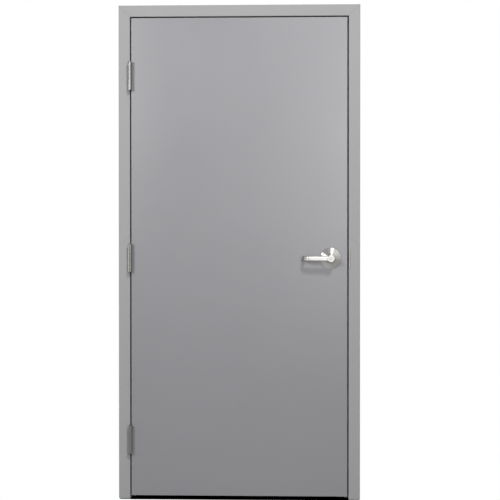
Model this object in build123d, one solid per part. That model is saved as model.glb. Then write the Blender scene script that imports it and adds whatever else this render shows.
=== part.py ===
from build123d import *

import math
import os

# A flush hollow-metal fire door: a steel leaf on three butt hinges in a mitred pressed-steel frame,
# with a lever set on round roses and a lipped strike. Millimetres.
# X runs from the hinge side to the strike side, Y from the pull face to the push face, Z up.
# The origin is the middle of the hinge-side floor anchor's underside, on the finished floor.

# Frame: opening and pressed profile
OPENING_WIDTH = 920.0
OPENING_HEIGHT = 2032.0
JAMB_DEPTH = 146.05
FACE_WIDTH = 48.0
RABBET_DEPTH = 49.8
STOP_HEIGHT = 15.9
BACKBEND = 12.7
FRAME_GAUGE = 1.5
FRAME_BEND = 1.2

# Leaf
LEAF_THICKNESS = 44.45
LEAF_GAUGE = 1.2
LEAF_BEND = 0.8
SIDE_GAP = 5.4
TOP_GAP = 5.5
UNDERCUT = 16.0
LOCK_BEVEL = 2.8
EDGE_SEAM = 0.5
END_CHANNEL_GAUGE = 1.5
END_CHANNEL_DEPTH = 25.0
CORE_JOINT = 0.5
LOCK_PLATE_GAUGE = 1.5
LOCK_PLATE_MARGIN = 38.0

# Butt hinges
HINGE_HEIGHT = 114.3
HINGE_PLATE = 3.4
HINGE_PLATE_WIDTH = 57.15
HINGE_SETBACK = 6.35
BARREL_RADIUS = 8.5
PIN_RADIUS = 3.95
PIN_CLEARANCE = 0.05
KNUCKLE_COUNT = 5
KNUCKLE_GAP = 0.3
SHOULDER_CLEARANCE = 1.5
MORTISE_CLEARANCE = 0.2
TIP_HEIGHT = 3.6
TIP_INSET = 0.5
TOP_HINGE_DROP = 250.0
BOTTOM_HINGE_RISE = 254.0
SCREW_HOLE_RADIUS = 3.2
COUNTERSINK_RADIUS = 5.6
COUNTERSINK_DEPTH = 2.2
SCREW_HEIGHTS = (-43.0, -18.0, 18.0, 43.0)
SCREW_INSETS = (11.0, 22.0)

# Hinge and strike reinforcements, welded behind the rabbet
REINFORCEMENT_GAUGE = 4.5
REINFORCEMENT_BEND = 2.0
REINFORCEMENT_OVERLAP = 45.0
REINFORCEMENT_RAMP = 8.0
REINFORCEMENT_LAND = 10.0
REINFORCEMENT_WIDTH = 32.0
REINFORCEMENT_SETBACK = 1.0

# Lever set
LOCK_HEIGHT = 1016.0
BACKSET = 69.85
CROSS_BORE_RADIUS = 27.0
EDGE_BORE_RADIUS = 12.7
ROSE_RADIUS = 44.45
ROSE_RIM = 3.5
ROSE_RIM_FILLET = 1.6
ROSE_RISE = 10.5
HUB_RADIUS = 19.0
HUB_HEIGHT = 14.0
HUB_TAPER = 1.0
HUB_FILLET = 1.2
NECK_RADIUS = 12.0
NECK_CLEARANCE = 0.5
BOSS_RADIUS = 15.0
BOSS_SHOULDER = 30.0
BOSS_PROUD = 1.0
BOSS_FILLET = 2.0
LEVER_PROJECTION = 66.0
LEVER_REACH = 119.0
ARM_ROOT_HEIGHT = 22.5
ARM_TIP_HEIGHT = 20.0
ARM_ROOT_THICKNESS = 13.5
ARM_TIP_THICKNESS = 12.0
ARM_CORNER = 4.6
RETURN_RADIUS = 22.0
RETURN_GAP = 12.0
GROOVE_WIDTH = 2.2
GROOVE_DEPTH = 0.8
SPINDLE_SIDE = 8.0
SPINDLE_GRIP = 20.0
CYLINDER_RADIUS = 8.5
CYLINDER_DEPTH = 18.0
CYLINDER_PROUD = 0.8
KEYWAY_WIDTH = 1.6
KEYWAY_HEIGHT = 8.0
KEYWAY_DEPTH = 5.0

# Latch
FACE_PLATE_HEIGHT = 57.15
FACE_PLATE_WIDTH = 28.6
FACE_PLATE_GAUGE = 3.0
LATCH_TUBE_RADIUS = 11.8
LATCH_HUB_RADIUS = 7.0
LATCH_CASE_END = 14.0
LATCH_BOLT_RADIUS = 8.7
LATCH_BOLT_WIDTH = 12.6
LATCH_BOLT_LENGTH = 24.0
LATCH_BEVEL = 9.0
LATCH_PROUD = 0.6
LATCH_CLEARANCE = 0.25

# Strike
STRIKE_HEIGHT = 123.8
STRIKE_WIDTH = 31.75
STRIKE_GAUGE = 2.4
STRIKE_BEND = 0.8
LIP_HEIGHT = 82.0
LIP_STANDOFF = 1.0
LIP_FLARE = 5.0
LATCH_WINDOW_HEIGHT = 28.6
LATCH_WINDOW_WIDTH = 19.0
STRIKE_SCREW_SPACING = 104.8
STRIKE_BOX_WALL = 1.0
STRIKE_BOX_DEPTH = 26.0
STRIKE_BOX_HEIGHT = 52.0
STRIKE_BOX_WIDTH = 27.0

# Anchors and silencers
FLOOR_ANCHOR_GAUGE = 3.0
FLOOR_ANCHOR_BEND = 2.0
FLOOR_ANCHOR_WIDTH = 38.0
FLOOR_ANCHOR_TAB = 40.0
FLOOR_BOLT_RADIUS = 5.5
FLOOR_BOLT_SPACING = 60.0
FOOT_CLEARANCE = 0.3
WALL_ANCHOR_GAUGE = 1.5
WALL_ANCHOR_BEND = 2.0
WALL_ANCHOR_HEIGHT = 50.0
WALL_ANCHOR_REACH = 40.0
WALL_ANCHOR_DROP = 85.0
SILENCER_RADIUS = 6.35
SILENCER_TIP_RADIUS = 4.45
SILENCER_DOME = 2.0
SILENCER_STEM_RADIUS = 3.0
SILENCER_CLEARANCE = 0.3
SILENCER_BARB_RADIUS = 4.6
SILENCER_BARB_LENGTH = 7.0
SILENCER_BARB_TIP_RADIUS = 1.8
SILENCER_END_DISTANCE = 300.0
SILENCER_ABOVE_LOCK = 160.0

# Places worked out from the sizes above
FRONT = -JAMB_DEPTH / 2
BACK = JAMB_DEPTH / 2
HINGE_RABBET = FACE_WIDTH / 2
STRIKE_RABBET = HINGE_RABBET + OPENING_WIDTH
OPENING_CENTRE = (HINGE_RABBET + STRIKE_RABBET) / 2
STOP_FACE = FRONT + RABBET_DEPTH

LEAF_HINGE_EDGE = HINGE_RABBET + SIDE_GAP
LEAF_LOCK_EDGE = STRIKE_RABBET - SIDE_GAP
LEAF_BACK = FRONT + LEAF_THICKNESS
LEAF_MIDDLE = FRONT + LEAF_THICKNESS / 2
LEAF_BOTTOM = UNDERCUT
LEAF_TOP = OPENING_HEIGHT - TOP_GAP
LEAF_HEIGHT = LEAF_TOP - LEAF_BOTTOM
BEVEL_ANGLE = math.degrees(math.atan(LOCK_BEVEL / LEAF_THICKNESS))
LOCK_EDGE_MIDDLE = LEAF_LOCK_EDGE - LOCK_BEVEL / 2

MORTISE_WIDTH = LEAF_THICKNESS - HINGE_SETBACK
PIN_X = HINGE_RABBET + SIDE_GAP / 2
PIN_Y = FRONT + MORTISE_WIDTH - HINGE_PLATE_WIDTH
HINGE_TOP_LEVEL = OPENING_HEIGHT - TOP_HINGE_DROP
HINGE_LEVELS = {
    "top": HINGE_TOP_LEVEL,
    "middle": (HINGE_TOP_LEVEL + BOTTOM_HINGE_RISE) / 2,
    "bottom": BOTTOM_HINGE_RISE,
}

JAMB_FOOT = FLOOR_ANCHOR_GAUGE + FOOT_CLEARANCE
WALL_ANCHOR_LEVELS = (
    (HINGE_LEVELS["bottom"] + HINGE_LEVELS["middle"]) / 2,
    (HINGE_LEVELS["middle"] + HINGE_LEVELS["top"]) / 2,
    OPENING_HEIGHT - WALL_ANCHOR_DROP,
)
SILENCER_LEVELS = (
    SILENCER_END_DISTANCE,
    LOCK_HEIGHT + SILENCER_ABOVE_LOCK,
    OPENING_HEIGHT - SILENCER_END_DISTANCE,
)

LOCK_X = LEAF_LOCK_EDGE - BACKSET
STRIKE_Y = LEAF_MIDDLE

OVERCUT = 1.0


def block(x0, x1, y0, y1, z0, z1):
    """A box between two corners."""
    low = (min(x0, x1), min(y0, y1), min(z0, z1))
    return Pos(*low) * Box(
        abs(x1 - x0), abs(y1 - y0), abs(z1 - z0), align=(Align.MIN, Align.MIN, Align.MIN)
    )


def rod(radius, start, end):
    """A cylinder of this radius from one point to another."""
    start = Vector(*start)
    along = Vector(*end) - start
    face = Plane(origin=start, z_dir=along) * Circle(radius)
    return extrude(face, amount=along.length, dir=along.normalized())


def cone(low_radius, high_radius, start, end):
    """A frustum between two points."""
    start = Vector(*start)
    along = Vector(*end) - start
    place = Plane(origin=start, z_dir=along)
    return place * Cone(low_radius, high_radius, along.length, align=(Align.CENTER, Align.CENTER, Align.MIN))


def bent_sheet(points, gauge, bend):
    """The section of a sheet folded along points, which lie on its outer skin. The metal is on the left of
    the way the points run, or on the right where gauge is negative. bend is the inside radius."""
    path = [Vector(*p) for p in points]
    runs = [(b - a).normalized() for a, b in zip(path, path[1:])]
    side = 1 if gauge > 0 else -1
    normals = [Vector(-d.Y, d.X) * side for d in runs]
    inner = [path[0] + normals[0] * abs(gauge)]
    skin_radii = [0.0]
    inner_radii = [0.0]
    for i in range(1, len(path) - 1):
        before, after = normals[i - 1], normals[i]
        share = abs(gauge) / (1 + before.dot(after))
        inner.append(path[i] + (before + after) * share)
        folds_towards_metal = (runs[i - 1].X * runs[i].Y - runs[i - 1].Y * runs[i].X) * side > 0
        skin_radii.append(bend + abs(gauge) if folds_towards_metal else bend)
        inner_radii.append(bend if folds_towards_metal else bend + abs(gauge))
    inner.append(path[-1] + normals[-1] * abs(gauge))
    skin_radii.append(0.0)
    inner_radii.append(0.0)
    outline = FilletPolyline(
        *path, *reversed(inner), radius=skin_radii + inner_radii[::-1], close=True
    )
    return make_face(outline)


def mirror_to_other_jamb(shape):
    return mirror(shape, about=Plane(origin=(OPENING_CENTRE, 0, 0), z_dir=(1, 0, 0)))


def frame_member(length):
    """A straight run of the double-rabbet profile along Z. Its rabbet plane is x = 0, its wall side +X."""
    section = bent_sheet(
        [
            (FACE_WIDTH, FRONT + BACKBEND),
            (FACE_WIDTH, FRONT),
            (0, FRONT),
            (0, STOP_FACE),
            (-STOP_HEIGHT, STOP_FACE),
            (-STOP_HEIGHT, BACK - RABBET_DEPTH),
            (0, BACK - RABBET_DEPTH),
            (0, BACK),
            (FACE_WIDTH, BACK),
            (FACE_WIDTH, BACK - BACKBEND),
        ],
        -FRAME_GAUGE,
        FRAME_BEND,
    )
    return extrude(section, amount=length)


def strike_side_jamb():
    """A jamb on the strike side with its mitred top, before any cut-out."""
    member = Pos(STRIKE_RABBET, 0, JAMB_FOOT) * frame_member(OPENING_HEIGHT + FACE_WIDTH - JAMB_FOOT)
    mitre = Plane(origin=(STRIKE_RABBET, 0, OPENING_HEIGHT), z_dir=(-1, 0, 1))
    return split(member, bisect_by=mitre, keep=Keep.BOTTOM)


def head():
    length = OPENING_WIDTH + 2 * FACE_WIDTH
    member = Pos(STRIKE_RABBET + FACE_WIDTH, 0, OPENING_HEIGHT) * Rot(0, -90, 0) * frame_member(length)
    for x, lean in ((STRIKE_RABBET, -1), (HINGE_RABBET, 1)):
        mitre = Plane(origin=(x, 0, OPENING_HEIGHT), z_dir=(lean, 0, 1))
        member = split(member, bisect_by=mitre, keep=Keep.TOP)
    return member


def hinge_mortise(plane_x, into, level):
    """The pocket for one hinge plate. into is the direction into the metal, along X."""
    half = HINGE_HEIGHT / 2 + MORTISE_CLEARANCE
    return block(
        plane_x - into * OVERCUT,
        plane_x + into * HINGE_PLATE,
        FRONT - OVERCUT,
        FRONT + MORTISE_WIDTH + MORTISE_CLEARANCE,
        level - half,
        level + half,
    )


def hinge_jamb():
    jamb = mirror_to_other_jamb(strike_side_jamb())
    for level in HINGE_LEVELS.values():
        jamb -= hinge_mortise(HINGE_RABBET, -1, level)
    return jamb


def strike_jamb():
    jamb = strike_side_jamb()
    deep = STRIKE_RABBET + STRIKE_GAUGE + MORTISE_CLEARANCE
    half_plate = STRIKE_HEIGHT / 2 + MORTISE_CLEARANCE
    half_width = STRIKE_WIDTH / 2 + MORTISE_CLEARANCE
    half_lip = LIP_HEIGHT / 2 + MORTISE_CLEARANCE
    jamb -= block(
        STRIKE_RABBET - OVERCUT,
        deep,
        STRIKE_Y - half_width,
        STRIKE_Y + half_width,
        LOCK_HEIGHT - half_plate,
        LOCK_HEIGHT + half_plate,
    )
    jamb -= block(
        STRIKE_RABBET - OVERCUT,
        deep,
        FRONT - OVERCUT,
        STRIKE_Y,
        LOCK_HEIGHT - half_lip,
        LOCK_HEIGHT + half_lip,
    )
    x = STRIKE_RABBET - STOP_HEIGHT / 2
    inner_y = STOP_FACE + FRAME_GAUGE
    hole_radius = SILENCER_STEM_RADIUS + MORTISE_CLEARANCE
    for level in SILENCER_LEVELS:
        jamb -= rod(hole_radius, (x, STOP_FACE - OVERCUT, level), (x, inner_y + OVERCUT, level))
    return jamb


def joggled_strap(face_x, drop, into, middle_y, level, pocket_height):
    """A welded strap behind a pocket in a sheet. Its ends lie on the sheet's inner skin at face_x, and
    its middle steps back by drop to carry the plate in the pocket."""
    half_pocket = pocket_height / 2 + REINFORCEMENT_LAND
    half_ramp = half_pocket + REINFORCEMENT_RAMP
    half = half_ramp + REINFORCEMENT_OVERLAP - REINFORCEMENT_LAND
    side = [
        (0, -half),
        (0, -half_ramp),
        (drop, -half_pocket),
        (drop, half_pocket),
        (0, half_ramp),
        (0, half),
    ]
    section = bent_sheet(side, -REINFORCEMENT_GAUGE, REINFORCEMENT_BEND)
    across = Plane(
        origin=(face_x, middle_y, level), x_dir=(into, 0, 0), z_dir=Vector(into, 0, 0).cross(Vector(0, 0, 1))
    )
    return extrude(across * section, amount=REINFORCEMENT_WIDTH / 2, both=True)


def hinge_straps(inner_skin, gauge, into, middle_y):
    """The straps behind the hinge pockets of a sheet of this gauge."""
    drop = HINGE_PLATE - gauge
    levels = HINGE_LEVELS.values()
    return [joggled_strap(inner_skin, drop, into, middle_y, level, HINGE_HEIGHT) for level in levels]


def leaf_hinge_reinforcements():
    return hinge_straps(LEAF_HINGE_EDGE + LEAF_GAUGE, LEAF_GAUGE, 1, LEAF_MIDDLE)


def reinforcement_room(level):
    """The room that a leaf's hinge strap takes out of the core."""
    half_y = REINFORCEMENT_WIDTH / 2 + MORTISE_CLEARANCE
    half_z = HINGE_HEIGHT / 2 + REINFORCEMENT_RAMP + REINFORCEMENT_OVERLAP + MORTISE_CLEARANCE
    far_x = LEAF_HINGE_EDGE + HINGE_PLATE + REINFORCEMENT_GAUGE + MORTISE_CLEARANCE
    return block(
        LEAF_HINGE_EDGE,
        far_x,
        LEAF_MIDDLE - half_y,
        LEAF_MIDDLE + half_y,
        level - half_z,
        level + half_z,
    )


def hinge_reinforcements():
    middle_y = FRONT + FRAME_GAUGE + FRAME_BEND + REINFORCEMENT_SETBACK + REINFORCEMENT_WIDTH / 2
    return hinge_straps(HINGE_RABBET - FRAME_GAUGE, FRAME_GAUGE, -1, middle_y)


def strike_reinforcement():
    inner_skin = STRIKE_RABBET + FRAME_GAUGE
    strap = joggled_strap(
        inner_skin, STRIKE_GAUGE - FRAME_GAUGE, 1, STRIKE_Y, LOCK_HEIGHT, STRIKE_HEIGHT
    )
    window = block(
        STRIKE_RABBET,
        STRIKE_RABBET + STRIKE_GAUGE + REINFORCEMENT_GAUGE + OVERCUT,
        STRIKE_Y - LATCH_WINDOW_WIDTH / 2,
        STRIKE_Y + LATCH_WINDOW_WIDTH / 2,
        LOCK_HEIGHT - LATCH_WINDOW_HEIGHT / 2,
        LOCK_HEIGHT + LATCH_WINDOW_HEIGHT / 2,
    )
    return strap - window


def strike_box():
    """The dust box behind the latch window, open towards the strike."""
    mouth = STRIKE_RABBET + STRIKE_GAUGE + REINFORCEMENT_GAUGE
    half_y = STRIKE_BOX_WIDTH / 2
    half_z = STRIKE_BOX_HEIGHT / 2
    wall = STRIKE_BOX_WALL
    outside = block(
        mouth,
        mouth + STRIKE_BOX_DEPTH,
        STRIKE_Y - half_y,
        STRIKE_Y + half_y,
        LOCK_HEIGHT - half_z,
        LOCK_HEIGHT + half_z,
    )
    inside = block(
        mouth - OVERCUT,
        mouth + STRIKE_BOX_DEPTH - wall,
        STRIKE_Y - half_y + wall,
        STRIKE_Y + half_y - wall,
        LOCK_HEIGHT - half_z + wall,
        LOCK_HEIGHT + half_z - wall,
    )
    return outside - inside


def countersunk_hole(face_x, into, y, z, plate):
    """A countersunk screw hole along X through a plate whose visible face is at face_x."""
    start = face_x - into * OVERCUT
    hole = rod(SCREW_HOLE_RADIUS, (start, y, z), (face_x + into * (plate + OVERCUT), y, z))
    sink = cone(
        COUNTERSINK_RADIUS, SCREW_HOLE_RADIUS, (face_x, y, z), (face_x + into * COUNTERSINK_DEPTH, y, z)
    )
    return hole + sink


def strike_plate():
    """The strike: a flat plate with a latch window and a lip that curls over the jamb's corner."""
    half_height = STRIKE_HEIGHT / 2
    half_lip = LIP_HEIGHT / 2
    back_y = STRIKE_Y + STRIKE_WIDTH / 2
    front_y = STRIKE_Y - STRIKE_WIDTH / 2
    curl_y = FRONT - LIP_STANDOFF
    section = bent_sheet(
        [
            (STRIKE_RABBET, back_y),
            (STRIKE_RABBET, curl_y - STRIKE_GAUGE),
            (STRIKE_RABBET + LIP_FLARE, curl_y - STRIKE_GAUGE - LIP_STANDOFF),
        ],
        STRIKE_GAUGE,
        STRIKE_BEND,
    )
    lip = Pos(0, 0, LOCK_HEIGHT - half_lip) * extrude(section, amount=LIP_HEIGHT)
    plate = lip + block(
        STRIKE_RABBET,
        STRIKE_RABBET + STRIKE_GAUGE,
        front_y,
        back_y,
        LOCK_HEIGHT - half_height,
        LOCK_HEIGHT + half_height,
    )
    plate -= block(
        STRIKE_RABBET - OVERCUT,
        STRIKE_RABBET + STRIKE_GAUGE + OVERCUT,
        STRIKE_Y - LATCH_WINDOW_WIDTH / 2,
        STRIKE_Y + LATCH_WINDOW_WIDTH / 2,
        LOCK_HEIGHT - LATCH_WINDOW_HEIGHT / 2,
        LOCK_HEIGHT + LATCH_WINDOW_HEIGHT / 2,
    )
    for side in (-1, 1):
        z = LOCK_HEIGHT + side * STRIKE_SCREW_SPACING / 2
        plate -= countersunk_hole(STRIKE_RABBET, 1, STRIKE_Y, z, STRIKE_GAUGE)
    return plate


def floor_anchor():
    """The bent clip welded across the foot of the hinge jamb, with two floor bolt holes."""
    half = JAMB_DEPTH / 2 - FRAME_GAUGE
    section = bent_sheet(
        [(-half, FLOOR_ANCHOR_TAB), (-half, 0), (half, 0), (half, FLOOR_ANCHOR_TAB)],
        FLOOR_ANCHOR_GAUGE,
        FLOOR_ANCHOR_BEND,
    )
    across = Plane(origin=(0, 0, 0), x_dir=(0, 1, 0), z_dir=(1, 0, 0))
    clip = extrude(across * section, amount=FLOOR_ANCHOR_WIDTH / 2, both=True)
    for side in (-1, 1):
        y = side * FLOOR_BOLT_SPACING / 2
        clip -= rod(FLOOR_BOLT_RADIUS, (0, y, -OVERCUT), (0, y, FLOOR_ANCHOR_GAUGE + OVERCUT))
    return clip


def wall_anchors():
    """The straps that line the hinge jamb's throat and grip the wall."""
    half = JAMB_DEPTH / 2 - FRAME_GAUGE
    web = HINGE_RABBET - FRAME_GAUGE
    section = bent_sheet(
        [(web - WALL_ANCHOR_REACH, -half), (web, -half), (web, half), (web - WALL_ANCHOR_REACH, half)],
        WALL_ANCHOR_GAUGE,
        WALL_ANCHOR_BEND,
    )
    straps = []
    for level in WALL_ANCHOR_LEVELS:
        straps.append(Pos(0, 0, level) * extrude(section, amount=WALL_ANCHOR_HEIGHT / 2, both=True))
    return straps


def silencers():
    """The rubber buffers pushed into the stop of the strike jamb."""
    head_height = STOP_FACE - LEAF_BACK - SILENCER_CLEARANCE
    stem = FRAME_GAUGE
    profile = Polyline(
        (0, head_height),
        (SILENCER_TIP_RADIUS, head_height),
        (SILENCER_RADIUS, head_height - SILENCER_DOME),
        (SILENCER_RADIUS, 0),
        (SILENCER_STEM_RADIUS, 0),
        (SILENCER_STEM_RADIUS, -stem),
        (SILENCER_BARB_RADIUS, -stem),
        (SILENCER_BARB_TIP_RADIUS, -stem - SILENCER_BARB_LENGTH),
        (0, -stem - SILENCER_BARB_LENGTH),
        close=True,
    )
    turned = revolve(make_face(profile), axis=Axis.Y)
    x = STRIKE_RABBET - STOP_HEIGHT / 2
    return [Pos(x, STOP_FACE, level) * Rot(180, 0, 0) * turned for level in SILENCER_LEVELS]


def hinge_leaf(level, into, knuckles):
    """One leaf of a butt hinge. into points from the pin's plane into the metal it is screwed to, along X,
    and knuckles says which of the barrel's lengths belong to this leaf."""
    face_x = PIN_X + into * SIDE_GAP / 2
    back_x = face_x + into * HINGE_PLATE
    bottom = level - HINGE_HEIGHT / 2
    far_y = PIN_Y + HINGE_PLATE_WIDTH
    shoulder = BARREL_RADIUS + SHOULDER_CLEARANCE
    plate = block(face_x, back_x, PIN_Y + shoulder, far_y, bottom, bottom + HINGE_HEIGHT)
    pitch = HINGE_HEIGHT / KNUCKLE_COUNT
    for i in knuckles:
        z0 = bottom + i * pitch + (KNUCKLE_GAP / 2 if i > 0 else 0)
        z1 = bottom + (i + 1) * pitch - (KNUCKLE_GAP / 2 if i < KNUCKLE_COUNT - 1 else 0)
        plate += rod(BARREL_RADIUS, (PIN_X, PIN_Y, z0), (PIN_X, PIN_Y, z1))
        plate += block(face_x, back_x, PIN_Y, PIN_Y + shoulder, z0, z1)
    plate -= rod(
        PIN_RADIUS + PIN_CLEARANCE,
        (PIN_X, PIN_Y, bottom - OVERCUT),
        (PIN_X, PIN_Y, bottom + HINGE_HEIGHT + OVERCUT),
    )
    for i, height in enumerate(SCREW_HEIGHTS):
        y = far_y - SCREW_INSETS[i % len(SCREW_INSETS)]
        plate -= countersunk_hole(face_x, into, y, level + height, HINGE_PLATE)
    return plate


def hinge_pin(level):
    """A fast pin with a turned button tip at each end."""
    half = HINGE_HEIGHT / 2
    tip_radius = BARREL_RADIUS - TIP_INSET
    profile = Polyline(
        (0, -half - TIP_HEIGHT),
        (tip_radius - TIP_HEIGHT / 2, -half - TIP_HEIGHT),
        (tip_radius, -half - TIP_HEIGHT / 2),
        (tip_radius, -half),
        (PIN_RADIUS, -half),
        (PIN_RADIUS, half),
        (tip_radius, half),
        (tip_radius, half + TIP_HEIGHT / 2),
        (tip_radius - TIP_HEIGHT / 2, half + TIP_HEIGHT),
        (0, half + TIP_HEIGHT),
        close=True,
    )
    section = Plane.XZ * make_face(profile)
    return Pos(PIN_X, PIN_Y, level) * revolve(section, axis=Axis.Z)


def lock_edge_x(y):
    """Where the bevelled lock edge stands at this depth."""
    return LEAF_LOCK_EDGE - LOCK_BEVEL * (y - FRONT) / LEAF_THICKNESS


def lock_edge_place():
    """A frame on the middle of the bevelled lock edge at lock height, its X out of the edge."""
    return Pos(LOCK_EDGE_MIDDLE, LEAF_MIDDLE, LOCK_HEIGHT) * Rot(0, 0, BEVEL_ANGLE)


def face_plate_pocket():
    half_y = FACE_PLATE_WIDTH / 2 + MORTISE_CLEARANCE
    half_z = FACE_PLATE_HEIGHT / 2 + MORTISE_CLEARANCE
    return lock_edge_place() * block(-FACE_PLATE_GAUGE, OVERCUT, -half_y, half_y, -half_z, half_z)


def lock_bores():
    """The cross bore for the lever set and the edge bore for the latch."""
    outside = (LOCK_X, FRONT - OVERCUT, LOCK_HEIGHT)
    inside = (LOCK_X, LEAF_BACK + OVERCUT, LOCK_HEIGHT)
    middle = (LOCK_X, LEAF_MIDDLE, LOCK_HEIGHT)
    edge = (LEAF_LOCK_EDGE + OVERCUT, LEAF_MIDDLE, LOCK_HEIGHT)
    return rod(CROSS_BORE_RADIUS, outside, inside) + rod(EDGE_BORE_RADIUS, middle, edge)


def leaf_cuts():
    cuts = [hinge_mortise(LEAF_HINGE_EDGE, 1, level) for level in HINGE_LEVELS.values()]
    return cuts + [face_plate_pocket(), lock_bores()]


def face_sheet(face_y, seam_side):
    """One face sheet with its edge flanges folded to the seam at mid-thickness. seam_side is +1 where the
    seam lies at +Y of the sheet's face."""
    seam_y = LEAF_MIDDLE - seam_side * EDGE_SEAM / 2
    points = [
        (LEAF_HINGE_EDGE, seam_y),
        (LEAF_HINGE_EDGE, face_y),
        (lock_edge_x(face_y), face_y),
        (lock_edge_x(seam_y), seam_y),
    ]
    section = bent_sheet(points, seam_side * LEAF_GAUGE, LEAF_BEND)
    sheet = Pos(0, 0, LEAF_BOTTOM) * extrude(section, amount=LEAF_HEIGHT)
    for cut in leaf_cuts():
        sheet -= cut
    return sheet


def inner_outline(clearance=0.0):
    """The space between the face sheets, seen from above, drawn in by clearance."""
    inset = LEAF_GAUGE + clearance
    lean = math.hypot(LEAF_THICKNESS, LOCK_BEVEL) / LEAF_THICKNESS
    front, back = FRONT + inset, LEAF_BACK - inset
    left = LEAF_HINGE_EDGE + inset
    corner = LEAF_BEND
    return make_face(
        FilletPolyline(
            (left, front),
            (lock_edge_x(front) - inset * lean, front),
            (lock_edge_x(back) - inset * lean, back),
            (left, back),
            radius=corner,
            close=True,
        )
    )


def lock_zone(margin=0.0):
    """The space round the lock bores that the core leaves free, grown by margin."""
    reach = CROSS_BORE_RADIUS + LOCK_PLATE_MARGIN + margin
    return (LOCK_X - reach, LOCK_HEIGHT - reach, LOCK_HEIGHT + reach)


def core():
    """The boards that fill the leaf: one below the lock, one beside it and one above it."""
    low = LEAF_BOTTOM + END_CHANNEL_DEPTH + END_CHANNEL_GAUGE
    high = LEAF_TOP - END_CHANNEL_DEPTH - END_CHANNEL_GAUGE
    zone_x, zone_low, zone_high = lock_zone(CORE_JOINT)
    boards = []
    for bottom, top, end in (
        (low, zone_low, LEAF_LOCK_EDGE),
        (zone_low + CORE_JOINT, zone_high - CORE_JOINT, zone_x),
        (zone_high, high, LEAF_LOCK_EDGE),
    ):
        board = Pos(0, 0, bottom) * extrude(inner_outline(), amount=top - bottom)
        board &= block(LEAF_HINGE_EDGE, end, FRONT, LEAF_BACK, bottom, top)
        for level in HINGE_LEVELS.values():
            board -= hinge_mortise(LEAF_HINGE_EDGE, 1, level)
            board -= reinforcement_room(level)
        boards += board.solids()
    return boards


def lock_reinforcement():
    """The channel inside the leaf that lines both face sheets and the lock edge round the lock bores."""
    zone_x, zone_low, zone_high = lock_zone()
    height = zone_high - zone_low
    lining = Pos(0, 0, zone_low) * extrude(inner_outline(), amount=height)
    lining &= block(zone_x, LEAF_LOCK_EDGE, FRONT, LEAF_BACK, zone_low, zone_high)
    lining -= Pos(0, 0, zone_low) * extrude(inner_outline(LOCK_PLATE_GAUGE), amount=height)
    return lining - lock_bores() - face_plate_pocket()


def end_channel(at_top):
    """The channel that closes the leaf's top or bottom, its open side outwards."""
    half = LEAF_THICKNESS / 2 - LEAF_GAUGE
    web = END_CHANNEL_DEPTH + END_CHANNEL_GAUGE
    section = bent_sheet(
        [(-half, 0), (-half, web), (half, web), (half, 0)], -END_CHANNEL_GAUGE, LEAF_BEND
    )
    rise = -1 if at_top else 1
    end_z = LEAF_TOP if at_top else LEAF_BOTTOM
    along = Vector(0, -rise, 0).cross(Vector(0, 0, rise))
    across = Plane(origin=(0, LEAF_MIDDLE, end_z), x_dir=(0, -rise, 0), z_dir=along)
    prism = extrude(across * section, amount=STRIKE_RABBET, both=True)
    room = Pos(0, 0, LEAF_BOTTOM) * extrude(inner_outline(), amount=LEAF_HEIGHT)
    return prism & room


def latch_face_plate():
    half_y = FACE_PLATE_WIDTH / 2
    half_z = FACE_PLATE_HEIGHT / 2
    plate = block(-FACE_PLATE_GAUGE, 0, -half_y, half_y, -half_z, half_z)
    plate = fillet(plate.edges().filter_by(Axis.X), LEAF_GAUGE)
    plate -= latch_bolt_section(LATCH_CLEARANCE, -FACE_PLATE_GAUGE - OVERCUT, OVERCUT)
    for side in (-1, 1):
        z = side * (LATCH_WINDOW_HEIGHT + FACE_PLATE_HEIGHT) / 4
        plate -= countersunk_hole(0, -1, 0, z, FACE_PLATE_GAUGE)
    return lock_edge_place() * plate


def latch_bolt_section(clearance, x0, x1):
    """A round bolt with flat cheeks, along X."""
    barrel = rod(LATCH_BOLT_RADIUS + clearance, (x0, 0, 0), (x1, 0, 0))
    half = LATCH_BOLT_WIDTH / 2 + clearance
    reach = LATCH_BOLT_RADIUS + OVERCUT
    return barrel & block(x0, x1, -half, half, -reach, reach)


def latch_bolt():
    """The spring bolt, drawn back so that its nose stands just proud of the face plate. Its bevel faces
    the stop."""
    nose = LATCH_PROUD
    bolt = latch_bolt_section(0.0, nose - LATCH_BOLT_LENGTH, nose)
    half = LATCH_BOLT_WIDTH / 2
    wedge = make_face(
        Polyline(
            (nose, -half + LATCH_PROUD * 2),
            (nose + OVERCUT, -half),
            (nose + OVERCUT, half + OVERCUT),
            (nose - LATCH_BEVEL, half + OVERCUT),
            close=True,
        )
    )
    bolt -= extrude(wedge, amount=2 * LATCH_BOLT_RADIUS, both=True)
    return lock_edge_place() * bolt


def latch_case():
    """The tubular latch in its edge bore, with a round hub that the spindle turns in."""
    mouth = LOCK_EDGE_MIDDLE - FACE_PLATE_GAUGE - LATCH_TUBE_RADIUS * math.tan(math.radians(BEVEL_ANGLE))
    tail = LOCK_X - LATCH_CASE_END
    case = rod(LATCH_TUBE_RADIUS, (tail, LEAF_MIDDLE, LOCK_HEIGHT), (mouth, LEAF_MIDDLE, LOCK_HEIGHT))
    room_end = -LATCH_BOLT_LENGTH - LATCH_CLEARANCE
    case -= lock_edge_place() * rod(LATCH_BOLT_RADIUS + LATCH_CLEARANCE, (room_end, 0, 0), (0, 0, 0))
    case -= rod(
        LATCH_HUB_RADIUS,
        (LOCK_X, LEAF_MIDDLE - LATCH_TUBE_RADIUS - OVERCUT, LOCK_HEIGHT),
        (LOCK_X, LEAF_MIDDLE + LATCH_TUBE_RADIUS + OVERCUT, LOCK_HEIGHT),
    )
    return case


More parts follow.
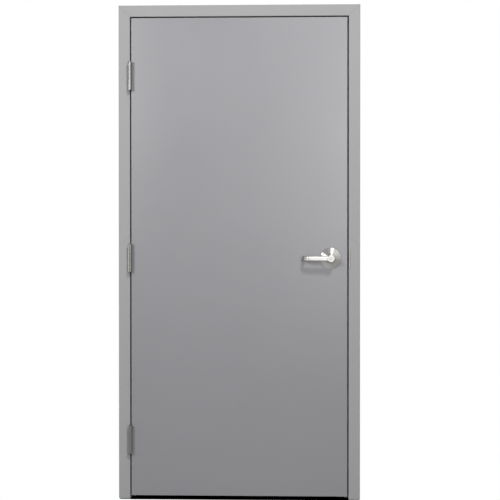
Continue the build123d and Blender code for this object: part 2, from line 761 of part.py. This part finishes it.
def rose():
    """The outside rose: a turned disc that rises to a hub round the lever's neck. Its axis is Y."""
    bore = NECK_RADIUS + NECK_CLEARANCE
    profile = Polyline(
        (bore, 0),
        (ROSE_RADIUS, 0),
        (ROSE_RADIUS, ROSE_RIM),
        (HUB_RADIUS + HUB_TAPER, ROSE_RISE),
        (HUB_RADIUS, HUB_HEIGHT),
        (bore, HUB_HEIGHT),
        close=True,
    )
    disc = revolve(make_face(profile), axis=Axis.Y)
    rim = disc.edges().filter_by(GeomType.CIRCLE).group_by(SortBy.RADIUS)[-1].sort_by(Axis.Y)[-1]
    disc = fillet(rim, ROSE_RIM_FILLET)
    hub_top = disc.edges().filter_by(GeomType.CIRCLE).group_by(Axis.Y)[-1].sort_by(SortBy.RADIUS)[-1]
    disc = fillet(hub_top, HUB_FILLET)
    return Pos(LOCK_X, FRONT, LOCK_HEIGHT) * Rot(180, 0, 0) * disc


def arm_section(x, y, height, thickness, shrink=0.0):
    """A rounded section of the lever's arm, square to X."""
    place = Plane(origin=(x, y, 0), x_dir=(0, 1, 0), z_dir=(-1, 0, 0))
    size = (thickness - 2 * shrink, height - 2 * shrink)
    return place * RectangleRounded(*size, ARM_CORNER - shrink)


def lever(spindle_room):
    """The outside lever about its own spindle axis, with the leaf's face at y = 0 and the arm towards -X."""
    front_y = -LEVER_PROJECTION
    bend_x = -(LEVER_REACH - RETURN_RADIUS - ARM_TIP_THICKNESS / 2)
    groove_x = bend_x + GROOVE_WIDTH
    root_y = front_y + ARM_ROOT_THICKNESS / 2
    tip_y = front_y + ARM_TIP_THICKNESS / 2
    root = arm_section(0, root_y, ARM_ROOT_HEIGHT, ARM_ROOT_THICKNESS)
    tip = arm_section(groove_x, tip_y, ARM_TIP_HEIGHT, ARM_TIP_THICKNESS)
    arm = loft([root, tip])
    neck = arm_section(groove_x, tip_y, ARM_TIP_HEIGHT, ARM_TIP_THICKNESS, GROOVE_DEPTH)
    arm += extrude(neck, amount=GROOVE_WIDTH, dir=(-1, 0, 0))
    bend_start = arm_section(bend_x, tip_y, ARM_TIP_HEIGHT, ARM_TIP_THICKNESS)
    pivot = Axis((bend_x, tip_y + RETURN_RADIUS, 0), (0, 0, -1))
    arm += revolve(bend_start, axis=pivot, revolution_arc=90)
    end_y = tip_y + RETURN_RADIUS
    end_place = Plane(origin=(bend_x - RETURN_RADIUS, end_y, 0), x_dir=(1, 0, 0), z_dir=(0, 1, 0))
    foot = extrude(
        end_place * RectangleRounded(ARM_TIP_THICKNESS, ARM_TIP_HEIGHT, ARM_CORNER),
        amount=-RETURN_GAP - end_y,
    )
    foot = fillet(foot.faces().sort_by(Axis.Y)[-1].edges(), ARM_CORNER / 2)
    arm += foot
    boss_profile = Polyline(
        (0, -HUB_HEIGHT / 2),
        (NECK_RADIUS, -HUB_HEIGHT / 2),
        (NECK_RADIUS, -BOSS_SHOULDER),
        (BOSS_RADIUS, -BOSS_SHOULDER - 2 * (BOSS_RADIUS - NECK_RADIUS)),
        (BOSS_RADIUS, front_y - BOSS_PROUD),
        (0, front_y - BOSS_PROUD),
        close=True,
    )
    boss = revolve(make_face(boss_profile), axis=Axis.Y)
    nose = boss.edges().filter_by(GeomType.CIRCLE).group_by(Axis.Y)[0]
    boss = fillet(nose, BOSS_FILLET)
    whole = arm + boss
    half = SPINDLE_SIDE / 2
    whole -= block(-half, half, -spindle_room, 0, -half, half)
    return whole


def outside_lever():
    body = lever(HUB_HEIGHT + SPINDLE_GRIP)
    mouth = -LEVER_PROJECTION - BOSS_PROUD
    body -= rod(CYLINDER_RADIUS, (0, -LEVER_PROJECTION + CYLINDER_DEPTH, 0), (0, mouth - OVERCUT, 0))
    return Pos(LOCK_X, FRONT, LOCK_HEIGHT) * body


def inside_lever():
    body = lever(HUB_HEIGHT + SPINDLE_GRIP)
    placed = Pos(LOCK_X, FRONT, LOCK_HEIGHT) * body
    return mirror(placed, about=Plane(origin=(0, LEAF_MIDDLE, 0), z_dir=(0, 1, 0)))


def key_cylinder():
    """The lock cylinder in the outside lever's boss, with a plain keyway."""
    nose = -LEVER_PROJECTION - BOSS_PROUD - CYLINDER_PROUD
    plug = rod(CYLINDER_RADIUS, (0, -LEVER_PROJECTION + CYLINDER_DEPTH, 0), (0, nose, 0))
    plug = fillet(plug.edges().filter_by(GeomType.CIRCLE).sort_by(Axis.Y)[0], CYLINDER_PROUD / 2)
    half_x = KEYWAY_WIDTH / 2
    half_z = KEYWAY_HEIGHT / 2
    plug -= block(-half_x, half_x, nose - OVERCUT, nose + KEYWAY_DEPTH, -half_z, half_z)
    return Pos(LOCK_X, FRONT, LOCK_HEIGHT) * plug


def spindle():
    half = SPINDLE_SIDE / 2
    grip = HUB_HEIGHT + SPINDLE_GRIP
    return block(
        LOCK_X - half, LOCK_X + half, FRONT - grip, LEAF_BACK + grip, LOCK_HEIGHT - half, LOCK_HEIGHT + half
    )


def parts():
    """Every node's name with its solid or solids."""
    nodes = {
        "hinge_jamb": hinge_jamb(),
        "strike_jamb": strike_jamb(),
        "head": head(),
        "hinge_side_floor_anchor": floor_anchor(),
        "strike_side_floor_anchor": mirror_to_other_jamb(floor_anchor()),
        "hinge_side_wall_anchors": wall_anchors(),
        "strike_side_wall_anchors": [mirror_to_other_jamb(strap) for strap in wall_anchors()],
        "hinge_reinforcements": hinge_reinforcements(),
        "strike_reinforcement": strike_reinforcement(),
        "strike_box": strike_box(),
        "strike_plate": strike_plate(),
        "silencers": silencers(),
        "front_face_sheet": face_sheet(FRONT, 1),
        "back_face_sheet": face_sheet(LEAF_BACK, -1),
        "core": core(),
        "lock_reinforcement": lock_reinforcement(),
        "leaf_hinge_reinforcements": leaf_hinge_reinforcements(),
        "top_channel": end_channel(True),
        "bottom_channel": end_channel(False),
        "latch_face_plate": latch_face_plate(),
        "latch_bolt": latch_bolt(),
        "latch_case": latch_case(),
        "outside_rose": rose(),
        "inside_rose": mirror(rose(), about=Plane(origin=(0, LEAF_MIDDLE, 0), z_dir=(0, 1, 0))),
        "outside_lever": outside_lever(),
        "inside_lever": inside_lever(),
        "key_cylinder": key_cylinder(),
        "spindle": spindle(),
    }
    frame_knuckles = range(0, KNUCKLE_COUNT, 2)
    leaf_knuckles = range(1, KNUCKLE_COUNT, 2)
    for place, level in HINGE_LEVELS.items():
        nodes[f"{place}_hinge_frame_leaf"] = hinge_leaf(level, -1, frame_knuckles)
        nodes[f"{place}_hinge_door_leaf"] = hinge_leaf(level, 1, leaf_knuckles)
        nodes[f"{place}_hinge_pin"] = hinge_pin(level)
    return nodes


os.makedirs("parts", exist_ok=True)
for name, shape in parts().items():
    solids = [s for item in shape for s in item.solids()] if isinstance(shape, list) else shape.solids()
    export_step(Compound(children=list(solids)), f"parts/{name}.step")
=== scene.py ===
import math

import bmesh
import bpy
from mathutils import Matrix, Vector


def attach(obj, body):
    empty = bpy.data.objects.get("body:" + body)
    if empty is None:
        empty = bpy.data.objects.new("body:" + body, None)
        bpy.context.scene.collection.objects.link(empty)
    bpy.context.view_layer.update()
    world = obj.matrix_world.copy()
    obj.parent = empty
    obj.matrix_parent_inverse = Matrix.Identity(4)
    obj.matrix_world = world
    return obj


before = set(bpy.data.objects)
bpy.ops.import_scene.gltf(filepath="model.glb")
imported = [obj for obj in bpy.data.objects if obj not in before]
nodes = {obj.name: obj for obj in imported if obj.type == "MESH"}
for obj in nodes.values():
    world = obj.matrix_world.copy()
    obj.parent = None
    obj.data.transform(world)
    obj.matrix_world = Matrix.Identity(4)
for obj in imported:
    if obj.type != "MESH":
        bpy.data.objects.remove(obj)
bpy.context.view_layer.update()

# Sizes in metres, as the CAD has them
FRONT = -0.073025
BACK = -FRONT
FACE_WIDTH = 0.048
HINGE_RABBET = 0.024
STRIKE_RABBET = 0.944
OPENING_HEIGHT = 2.032
FRAME_LEFT = HINGE_RABBET - FACE_WIDTH
FRAME_RIGHT = STRIKE_RABBET + FACE_WIDTH
FRAME_TOP = OPENING_HEIGHT + FACE_WIDTH
LEAF_THICKNESS = 0.04445
LEAF_MIDDLE = FRONT + LEAF_THICKNESS / 2
SIDE_GAP = 0.0054
HINGE_LEVELS = {"top": 1.782, "middle": 1.018, "bottom": 0.254}
HINGE_PIN_Y = -0.092075
HINGE_LEAF_WIDTH = 0.05715
HINGE_FAR_EDGE = HINGE_PIN_Y + HINGE_LEAF_WIDTH
LOCK = Vector((0.86875, FRONT, 1.016))
LATCH_FACE = Vector((0.9372, LEAF_MIDDLE, LOCK.z))
LATCH_FACING = Vector((0.99804, 0.06264, 0))  # turned, as the leaf's lock edge is bevelled

# Screw places: on a hinge, height from its middle and distance from its far edge, and on the strike and the
# latch's face plate, height above and below their middle
HINGE_SCREWS = ((-0.043, 0.011), (-0.018, 0.022), (0.018, 0.011), (0.043, 0.022))
STRIKE_SCREW_HEIGHT = 0.0524
LATCH_SCREW_HEIGHT = 0.02144


# Materials

class Nodes:
    """A material's node tree, with short calls to add and join nodes."""

    def __init__(self, name):
        self.material = bpy.data.materials.new(name)
        self.material.use_nodes = True
        self.tree = self.material.node_tree
        self.shader = self.tree.nodes["Principled BSDF"]

    def add(self, kind, **settings):
        node = self.tree.nodes.new(kind)
        for key, value in settings.items():
            setattr(node, key, value)
        return node

    def join(self, start, end):
        self.tree.links.new(start, end)

    def set(self, **values):
        for key, value in values.items():
            self.shader.inputs[key.replace("_", " ")].default_value = value

    def noise(self, scale, detail=3.0, stretch=(1, 1, 1)):
        """Noise in object space, in metres, stretched along the axes."""
        place = self.add("ShaderNodeTexCoord")
        mapping = self.add("ShaderNodeMapping")
        mapping.inputs["Scale"].default_value = stretch
        self.join(place.outputs["Object"], mapping.inputs["Vector"])
        noise = self.add("ShaderNodeTexNoise")
        noise.inputs["Scale"].default_value = scale
        noise.inputs["Detail"].default_value = detail
        self.join(mapping.outputs["Vector"], noise.inputs["Vector"])
        return noise.outputs["Fac"]

    def band(self, value, low, high, to_low, to_high):
        """Maps a value from one range to another."""
        node = self.add("ShaderNodeMapRange")
        for name, number in zip(("From Min", "From Max", "To Min", "To Max"), (low, high, to_low, to_high)):
            node.inputs[name].default_value = number
        self.join(value, node.inputs["Value"])
        return node.outputs["Result"]

    def tint(self, value, dark, light):
        """A colour between two, by a value from 0 to 1."""
        ramp = self.add("ShaderNodeValToRGB")
        ramp.color_ramp.elements[0].color = (*dark, 1)
        ramp.color_ramp.elements[1].color = (*light, 1)
        self.join(value, ramp.inputs["Fac"])
        self.join(ramp.outputs["Color"], self.shader.inputs["Base Color"])

    def roughen(self, value, low, high):
        """A roughness between two, by a noise that mostly stays between 0.3 and 0.7."""
        self.join(self.band(value, 0.3, 0.7, low, high), self.shader.inputs["Roughness"])

    def bump(self, height, strength, distance):
        bump = self.add("ShaderNodeBump")
        bump.inputs["Strength"].default_value = strength
        bump.inputs["Distance"].default_value = distance
        self.join(height, bump.inputs["Height"])
        self.join(bump.outputs["Normal"], self.shader.inputs["Normal"])


TONE_SPREAD = 0.03
ROUGHNESS_SPREAD = 0.03


def paint(name, colour, roughness, gloss):
    """Sprayed enamel on sheet steel: a fine orange peel, and slow changes of tone and gloss."""
    m = Nodes(name)
    dark = [c * (1 - TONE_SPREAD) for c in colour]
    light = [c * (1 + TONE_SPREAD) for c in colour]
    m.tint(m.noise(2.2, 4.0), dark, light)
    m.roughen(m.noise(3.0, 5.0), roughness - ROUGHNESS_SPREAD, roughness + ROUGHNESS_SPREAD)
    m.set(Specular_IOR_Level=gloss, IOR=1.5)
    m.bump(m.noise(900.0, 2.0), 0.12, 0.0003)
    return m


def brushed(name, colour, roughness, stretch, anisotropy=0.0, grain_depth=0.10):
    """Satin steel with a fine grain. stretch is how often it changes in a metre along each axis."""
    m = Nodes(name)
    m.set(Metallic=1.0, Anisotropic=anisotropy)
    grain = m.noise(1.0, 3.0, stretch)
    m.tint(grain, [c * 0.9 for c in colour], [c * 1.08 for c in colour])
    m.roughen(grain, roughness - ROUGHNESS_SPREAD, roughness + ROUGHNESS_SPREAD)
    m.bump(grain, grain_depth, 0.0001)
    return m


MITRE_SEAM = 0.0007
SEAM_TONE = 0.70


def frame_paint():
    """The paint of the jambs and head, a little darker along the two mitres where they meet."""
    m = paint("frame_paint", (0.33, 0.329, 0.334), 0.62, 0.4)
    plain_colour = m.shader.inputs["Base Color"].links[0].from_socket
    place = m.add("ShaderNodeTexCoord")
    nearest = None
    for corner_x, side in ((FRAME_LEFT, 1), (FRAME_RIGHT, -1)):
        offset = m.add("ShaderNodeVectorMath", operation="SUBTRACT")
        offset.inputs[1].default_value = (corner_x, 0, FRAME_TOP)
        m.join(place.outputs["Object"], offset.inputs[0])
        across = m.add("ShaderNodeVectorMath", operation="DOT_PRODUCT")
        across.inputs[1].default_value = (side * math.sqrt(0.5), 0, math.sqrt(0.5))
        m.join(offset.outputs["Vector"], across.inputs[0])
        distance = m.add("ShaderNodeMath", operation="ABSOLUTE")
        m.join(across.outputs["Value"], distance.inputs[0])
        if nearest is None:
            nearest = distance
        else:
            least = m.add("ShaderNodeMath", operation="MINIMUM")
            m.join(nearest.outputs["Value"], least.inputs[0])
            m.join(distance.outputs["Value"], least.inputs[1])
            nearest = least
    seam = m.band(nearest.outputs["Value"], MITRE_SEAM * 0.6, MITRE_SEAM, SEAM_TONE, 1.0)
    shade = m.add("ShaderNodeMix", data_type="RGBA", blend_type="MULTIPLY")
    shade.inputs["Factor"].default_value = 1.0
    colour_a, colour_b = (socket for socket in shade.inputs if socket.type == "RGBA")
    m.join(plain_colour, colour_a)
    m.join(seam, colour_b)
    result = next(socket for socket in shade.outputs if socket.type == "RGBA")
    m.join(result, m.shader.inputs["Base Color"])
    return m


RINGS_IN_5_CM = 120.0


def rose_metal():
    """Satin steel turned on a lathe, so that its grain runs in circles."""
    m = Nodes("rose_satin")
    m.set(Metallic=1.0, Anisotropic=1.0, Anisotropic_Rotation=0.25)
    tangent = m.add("ShaderNodeTangent", direction_type="RADIAL", axis="Y")
    m.join(tangent.outputs["Tangent"], m.shader.inputs["Tangent"])
    place = m.add("ShaderNodeTexCoord")
    offset = m.add("ShaderNodeVectorMath", operation="SUBTRACT")
    offset.inputs[1].default_value = LOCK
    m.join(place.outputs["Object"], offset.inputs[0])
    flat = m.add("ShaderNodeVectorMath", operation="MULTIPLY")
    flat.inputs[1].default_value = (1, 0, 1)
    m.join(offset.outputs["Vector"], flat.inputs[0])
    radius = m.add("ShaderNodeVectorMath", operation="LENGTH")
    m.join(flat.outputs["Vector"], radius.inputs[0])
    rings = m.add("ShaderNodeTexNoise", noise_dimensions="1D")
    rings.inputs["Scale"].default_value = 1.0
    rings.inputs["Detail"].default_value = 4.0
    m.join(m.band(radius.outputs["Value"], 0.0, 0.05, 0.0, RINGS_IN_5_CM), rings.inputs["W"])
    m.tint(rings.outputs["Fac"], (0.23, 0.226, 0.214), (0.30, 0.296, 0.283))
    m.roughen(rings.outputs["Fac"], 0.28, 0.36)
    m.bump(rings.outputs["Fac"], 0.15, 0.0001)
    return m


def galvanised():
    """Zinc-coated steel with pale and dark flakes."""
    m = Nodes("galvanised_steel")
    m.set(Metallic=0.9)
    cells = m.add("ShaderNodeTexVoronoi")
    cells.inputs["Scale"].default_value = 120.0
    place = m.add("ShaderNodeTexCoord")
    m.join(place.outputs["Object"], cells.inputs["Vector"])
    m.tint(m.band(cells.outputs["Distance"], 0.0, 0.8, 0.0, 1.0), (0.34, 0.35, 0.36), (0.50, 0.51, 0.52))
    m.roughen(m.noise(60.0), 0.42, 0.58)
    return m


def rubber():
    """Dull dark grey rubber."""
    m = Nodes("silencer_rubber")
    m.tint(m.noise(300.0), (0.16, 0.16, 0.16), (0.22, 0.22, 0.22))
    m.set(Roughness=0.75)
    m.bump(m.noise(2500.0), 0.2, 0.0001)
    return m


def board():
    """Pressed mineral and wood fibre."""
    m = Nodes("core_board")
    m.tint(m.noise(250.0, 6.0), (0.36, 0.30, 0.22), (0.56, 0.49, 0.38))
    m.set(Roughness=0.9)
    m.bump(m.noise(900.0), 0.4, 0.0003)
    return m


LEAF_PAINT = paint("leaf_paint", (0.215, 0.212, 0.228), 0.34, 0.85)
FRAME_PAINT = frame_paint()
HINGE_METAL = brushed("hinge_satin", (0.15, 0.147, 0.142), 0.36, (400, 400, 60), 0.3)
LEVER_METAL = brushed("lever_satin", (0.40, 0.393, 0.38), 0.30, (60, 500, 500), grain_depth=0.03)
STRIKE_METAL = brushed("strike_satin", (0.36, 0.354, 0.338), 0.28, (500, 500, 60), 0.3)
LATCH_METAL = brushed("latch_satin", (0.42, 0.413, 0.40), 0.30, (500, 500, 60), 0.3)
CYLINDER_METAL = brushed("cylinder_satin", (0.34, 0.326, 0.30), 0.32, (600, 600, 600))
SCREW_METAL = brushed("screw_satin", (0.38, 0.373, 0.36), 0.30, (900, 900, 900))
ROSE_METAL = rose_metal()
GALVANISED = galvanised()
RUBBER = rubber()
BOARD = board()

node_materials = {
    "hinge_jamb": FRAME_PAINT,
    "strike_jamb": FRAME_PAINT,
    "head": FRAME_PAINT,
    "hinge_side_floor_anchor": GALVANISED,
    "strike_side_floor_anchor": GALVANISED,
    "hinge_side_wall_anchors": GALVANISED,
    "strike_side_wall_anchors": GALVANISED,
    "hinge_reinforcements": GALVANISED,
    "strike_reinforcement": GALVANISED,
    "strike_box": GALVANISED,
    "lock_reinforcement": GALVANISED,
    "leaf_hinge_reinforcements": GALVANISED,
    "strike_plate": STRIKE_METAL,
    "silencers": RUBBER,
    "front_face_sheet": LEAF_PAINT,
    "back_face_sheet": LEAF_PAINT,
    "top_channel": LEAF_PAINT,
    "bottom_channel": LEAF_PAINT,
    "core": BOARD,
    "latch_face_plate": LATCH_METAL,
    "latch_bolt": LATCH_METAL,
    "latch_case": GALVANISED,
    "spindle": GALVANISED,
    "outside_rose": ROSE_METAL,
    "inside_rose": ROSE_METAL,
    "outside_lever": LEVER_METAL,
    "inside_lever": LEVER_METAL,
    "key_cylinder": CYLINDER_METAL,
}
for place in HINGE_LEVELS:
    for part in ("frame_leaf", "door_leaf", "pin"):
        node_materials[f"{place}_hinge_{part}"] = HINGE_METAL

for name, look in node_materials.items():
    mesh = nodes[name].data
    mesh.materials.clear()
    mesh.materials.append(look.material)


# Screws

SCREW_RADIUS = 0.0052
SCREW_SINK = 0.0001
SCREW_SIDES = 32
SCREW_TURN = 0.5  # how far each screw is turned home past upright, in radians
EDGE_DROP = 0.0003
LIP_RADIUS = SCREW_RADIUS * 0.93
FOOT_RADIUS = SCREW_RADIUS * 0.6
FOOT_DEPTH = 0.002
WING_LENGTH = SCREW_RADIUS * 0.62
WING_HALF_WIDTH = SCREW_RADIUS * 0.11
RECESS_TAPER = 0.55
RECESS_DEPTH = 0.0016


def circle(bm, radius, height):
    """A ring of corners about the screw's axis."""
    angles = [math.tau * i / SCREW_SIDES for i in range(SCREW_SIDES)]
    return [bm.verts.new((radius * math.cos(a), radius * math.sin(a), height)) for a in angles]


def cross_outline():
    """The corners of the cross recess at the head's face."""
    corners = []
    for quarter in range(4):
        c, s = math.cos(math.pi / 2 * quarter), math.sin(math.pi / 2 * quarter)
        for x, y in (
            (WING_LENGTH, -WING_HALF_WIDTH),
            (WING_LENGTH, WING_HALF_WIDTH),
            (WING_HALF_WIDTH, WING_HALF_WIDTH),
        ):
            corners.append((x * c - y * s, x * s + y * c))
    return corners


def screw_head():
    """One flat head, facing along Z with its face at the origin."""
    bm = bmesh.new()
    rim = circle(bm, SCREW_RADIUS, -EDGE_DROP)
    lip = circle(bm, LIP_RADIUS, 0.0)
    foot = circle(bm, FOOT_RADIUS, -FOOT_DEPTH)
    outline = cross_outline()
    recess_top = [bm.verts.new((x, y, 0.0)) for x, y in outline]
    recess_floor = [bm.verts.new((x * RECESS_TAPER, y * RECESS_TAPER, -RECESS_DEPTH)) for x, y in outline]
    for ring_a, ring_b in ((rim, lip), (foot, rim), (recess_top, recess_floor)):
        for i in range(len(ring_a)):
            j = (i + 1) % len(ring_a)
            bm.faces.new((ring_a[i], ring_a[j], ring_b[j], ring_b[i]))
    bm.faces.new(recess_floor)
    bm.faces.new(list(reversed(foot)))
    edges = []
    for ring in (lip, recess_top):
        for i, corner in enumerate(ring):
            edges.append(bm.edges.get((corner, ring[(i + 1) % len(ring)])))
    bmesh.ops.triangle_fill(bm, use_beauty=True, edges=edges)
    return bm


def screw_mesh(name, places):
    """Screw heads, joined. Each place is a point on the metal's face and the way that the face looks."""
    whole = bmesh.new()
    for point, facing in places:
        facing = Vector(facing)
        turn = Vector((0, 0, 1)).rotation_difference(facing).to_matrix().to_4x4()
        sunk = Vector(point) - SCREW_SINK * facing
        head = screw_head()
        head.transform(Matrix.Translation(sunk) @ turn @ Matrix.Rotation(SCREW_TURN, 4, "Z"))
        bmesh.ops.recalc_face_normals(head, faces=head.faces)
        part = bpy.data.meshes.new("part")
        head.to_mesh(part)
        head.free()
        whole.from_mesh(part)
        bpy.data.meshes.remove(part)
    mesh = bpy.data.meshes.new(name)
    whole.to_mesh(mesh)
    whole.free()
    return mesh


def add_screws(name, places, body):
    """One piece of screw heads, which moves with a body."""
    mesh = screw_mesh(name, places)
    mesh.materials.append(SCREW_METAL.material)
    obj = bpy.data.objects.new(name, mesh)
    bpy.context.scene.collection.objects.link(obj)
    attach(obj, body)


for place, level in HINGE_LEVELS.items():
    for side, body, x, facing in (
        ("frame", "frame", HINGE_RABBET, (1, 0, 0)),
        ("door", "leaf", HINGE_RABBET + SIDE_GAP, (-1, 0, 0)),
    ):
        places = [((x, HINGE_FAR_EDGE - y, level + z), facing) for z, y in HINGE_SCREWS]
        add_screws(f"{place}_hinge_{side}_screws", places, body)

strike_places = [
    ((STRIKE_RABBET, LEAF_MIDDLE, LOCK.z + side * STRIKE_SCREW_HEIGHT), (-1, 0, 0)) for side in (-1, 1)
]
add_screws("strike_screws", strike_places, "frame")
latch_places = [(LATCH_FACE + Vector((0, 0, side * LATCH_SCREW_HEIGHT)), LATCH_FACING) for side in (-1, 1)]
add_screws("latch_screws", latch_places, "leaf")


# Floor, light and camera

BACKGROUND_STRENGTH = 1.0
FLOOR_COLOUR = (0.15, 0.135, 0.12)  # as it throws the lamps' light back at the object
FLOOR_DROP = 0.0005
DOORWAY_FLOOR_REACH = 0.006  # how far the doorway's floor comes out past the leaf's face
DOORWAY_SHADE_END = 0.015  # from here to the frame's back, the painted shadow under the leaf fades


def stage_plane(name, x0, x1, y0, y1, z, material):
    """A flat piece of floor that isn't part of the object."""
    mesh = bpy.data.meshes.new(name)
    mesh.from_pydata([(x0, y0, z), (x1, y0, z), (x1, y1, z), (x0, y1, z)], [], [(0, 1, 2, 3)])
    mesh.materials.append(material)
    obj = bpy.data.objects.new(name, mesh)
    bpy.context.scene.collection.objects.link(obj)


def background_rays(tree):
    """1 for the rays that show the white background: those of the camera, of gloss and of glass."""
    path = tree.nodes.new("ShaderNodeLightPath")
    kind = path.outputs["Is Camera Ray"]
    for other in ("Is Glossy Ray", "Is Transmission Ray"):
        either = tree.nodes.new("ShaderNodeMath")
        either.operation = "MAXIMUM"
        tree.links.new(kind, either.inputs[0])
        tree.links.new(path.outputs[other], either.inputs[1])
        kind = either.outputs["Value"]
    return kind


def floor_with_painted_shade(name, reach, dark, light, fade=None):
    """White glow as background, with painted shade: the glow goes darker, down to black, where something
    stands within reach of it.
    dark and light are the openness at which it is black and white. With fade, that painted shade also ends
    between two places along Y."""
    m = Nodes(name)
    m.set(Base_Color=(*FLOOR_COLOUR, 1), Roughness=0.8)
    near = m.add("ShaderNodeAmbientOcclusion", samples=32 if fade else 16)
    near.inputs["Distance"].default_value = reach
    ramp = m.add("ShaderNodeValToRGB")
    ramp.color_ramp.elements[0].position = dark
    ramp.color_ramp.elements[0].color = (0.0, 0.0, 0.0, 1)
    ramp.color_ramp.elements[1].position = light
    ramp.color_ramp.elements[1].color = (1, 1, 1, 1)
    # painted shade: ambient occlusion darkens the glow's colour near the object, in place of a cast shadow
    m.join(near.outputs["AO"], ramp.inputs["Fac"])
    glow = m.add("ShaderNodeEmission")
    glow.inputs["Strength"].default_value = BACKGROUND_STRENGTH
    shade = ramp.outputs["Color"]
    if fade:
        place = m.add("ShaderNodeTexCoord")
        axes = m.add("ShaderNodeSeparateXYZ")
        m.join(place.outputs["Object"], axes.inputs["Vector"])
        lighter = m.add("ShaderNodeMath", operation="MAXIMUM")
        m.join(m.band(axes.outputs["Y"], *fade, 0.0, 1.0), lighter.inputs[0])
        m.join(shade, lighter.inputs[1])
        shade = lighter.outputs["Value"]
    m.join(shade, glow.inputs["Color"])
    mix = m.add("ShaderNodeMixShader")
    m.join(background_rays(m.tree), mix.inputs["Fac"])
    m.join(m.shader.outputs["BSDF"], mix.inputs[1])
    m.join(glow.outputs["Emission"], mix.inputs[2])
    m.join(mix.outputs["Shader"], m.tree.nodes["Material Output"].inputs["Surface"])
    return m.material


# the studio floor's glow carries a painted contact shadow around the object's feet
stage_plane("floor", -8, 9, -8, 8, -FLOOR_DROP, floor_with_painted_shade("studio_floor", 0.10, 0.30, 0.62))
# a plane under the leaf that carries a painted shadow: its glow is black under the closed leaf and lightens
# as the leaf opens
stage_plane("painted_shadow_in_doorway", HINGE_RABBET, STRIKE_RABBET, FRONT - DOORWAY_FLOOR_REACH, BACK, 0.0,
            floor_with_painted_shade("doorway_painted_shade", 0.30, 0.66, 0.84, (DOORWAY_SHADE_END, BACK)))


def world_light(strength):
    """White as background, and a weak light of its own on the object."""
    world = bpy.data.worlds.new("studio")
    bpy.context.scene.world = world
    world.use_nodes = True
    tree = world.node_tree
    ambient = tree.nodes["Background"]
    ambient.inputs["Color"].default_value = (1, 1, 1, 1)
    ambient.inputs["Strength"].default_value = strength
    white = tree.nodes.new("ShaderNodeBackground")
    white.inputs["Color"].default_value = (1, 1, 1, 1)
    white.inputs["Strength"].default_value = BACKGROUND_STRENGTH
    mix = tree.nodes.new("ShaderNodeMixShader")
    tree.links.new(background_rays(tree), mix.inputs["Fac"])
    tree.links.new(ambient.outputs["Background"], mix.inputs[1])
    tree.links.new(white.outputs["Background"], mix.inputs[2])
    tree.links.new(mix.outputs["Shader"], tree.nodes["World Output"].inputs["Surface"])


def soft_box(name, place, target, size, power):
    """A lamp at a place, turned to a target, with its width and height in metres and its power in watts."""
    light = bpy.data.lights.new(name, "AREA")
    light.shape = "RECTANGLE"
    light.size, light.size_y = size
    light.energy = power
    obj = bpy.data.objects.new(name, light)
    obj.location = place
    obj.rotation_euler = (Vector(target) - Vector(place)).to_track_quat("-Z", "Y").to_euler()
    bpy.context.scene.collection.objects.link(obj)


world_light(0.05)
soft_box("key_light", (-1.6, -4.0, 2.3), (0.4, 0, 1.1), (0.4, 0.4), 82)
soft_box("right_light", (1.5, -3.7, 4.2), (0.6, 0, 1.2), (0.6, 0.6), 122)
soft_box("right_panel", (1.6, -4.4, 1.75), (0.6, 0, 1.2), (1.4, 1.7), 46)
soft_box("left_side_light", (-4.0, 0.8, 1.2), (0, 0, 1.1), (0.7, 2.8), 95)
soft_box("right_side_light", (5.0, 1.5, 1.8), (1, 0, 1.2), (0.7, 2.2), 66)
soft_box("back_light", (-0.6, 3.8, 3.3), (0.5, 0, 1.1), (0.8, 0.8), 90)
soft_box("back_panel", (0.9, 4.6, 2.2), (0.5, 0, 1.2), (2.4, 1.6), 85)

camera_data = bpy.data.cameras.new("camera")
camera_data.sensor_width = 36
camera_data.lens = 101.64
camera = bpy.data.objects.new("camera", camera_data)
target = Vector((0.5301, FRONT, 1.0513))
camera.location = (0.7644, -6.0, 1.1177)
camera.rotation_euler = (target - camera.location).to_track_quat("-Z", "Y").to_euler()
bpy.context.scene.collection.objects.link(camera)
bpy.context.scene.camera = camera
bpy.context.scene.view_settings.view_transform = "Standard"
